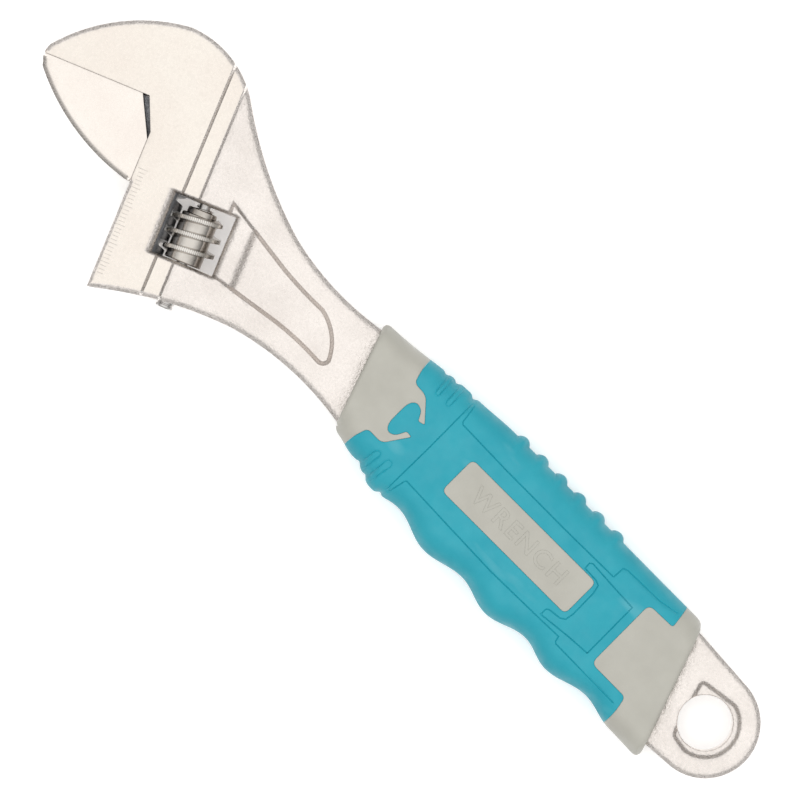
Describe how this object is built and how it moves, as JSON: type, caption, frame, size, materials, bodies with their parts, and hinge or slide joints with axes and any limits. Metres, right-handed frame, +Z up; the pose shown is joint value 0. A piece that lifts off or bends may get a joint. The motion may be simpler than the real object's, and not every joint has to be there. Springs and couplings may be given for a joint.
{
  "type": "adjustable wrench",
  "caption": "Adjustable wrench with a sliding jaw moved by a worm screw, a forged steel body with a hanging eye, and a two-colour moulded handle grip.",
  "frame": {"origin": "middle of the bounding box in plan, on the plane that the grip's underside rests on", "axes": "+X along the handle from the hang hole to the head, +Y the side on which the jaws open, +Z up, square to the flat faces"},
  "size_m": [0.2502, 0.0662, 0.0205],
  "materials": {
    "forged_steel": "satin pearl nickel plate over a forged, slightly grainy surface, flats ground smooth",
    "polished_steel": "satin nickel plate over ground flats, dark rounded edges",
    "worm_steel": "bright nickel plate, finely serrated thread crests",
    "pin_steel": "plain turned steel",
    "spring_steel": "drawn spring wire",
    "sleeve_plastic": "warm light grey moulded plastic, fine matt texture",
    "overmould_rubber": "teal soft-touch moulding, satin"
  },
  "bodies": {
    "frame": {"wrench_body": "forged_steel", "worm_pin": "pin_steel", "worm_spring": "spring_steel", "grip_sleeve": "sleeve_plastic", "grip_overmould": "overmould_rubber"},
    "jaw": {"movable_jaw": "polished_steel"},
    "worm": {"worm_screw": "worm_steel"}
  },
  "joints": [
    {"name": "jaw_slide", "type": "slide", "parent": "frame", "child": "jaw", "axis": [-0.3827, 0.9239, 0], "range_m": [0, 0.029]},
    {"name": "worm_spin", "type": "hinge", "parent": "frame", "child": "worm", "pos_m": [0.06613, 0.00545, 0.01025], "axis": [-0.3827, 0.9239, 0], "range_deg": [-2612, 0]}
  ],
  "couplings": [
    {"joint": "worm_spin", "follows": "jaw_slide", "rad_per_m": -1570.8}
  ]
}
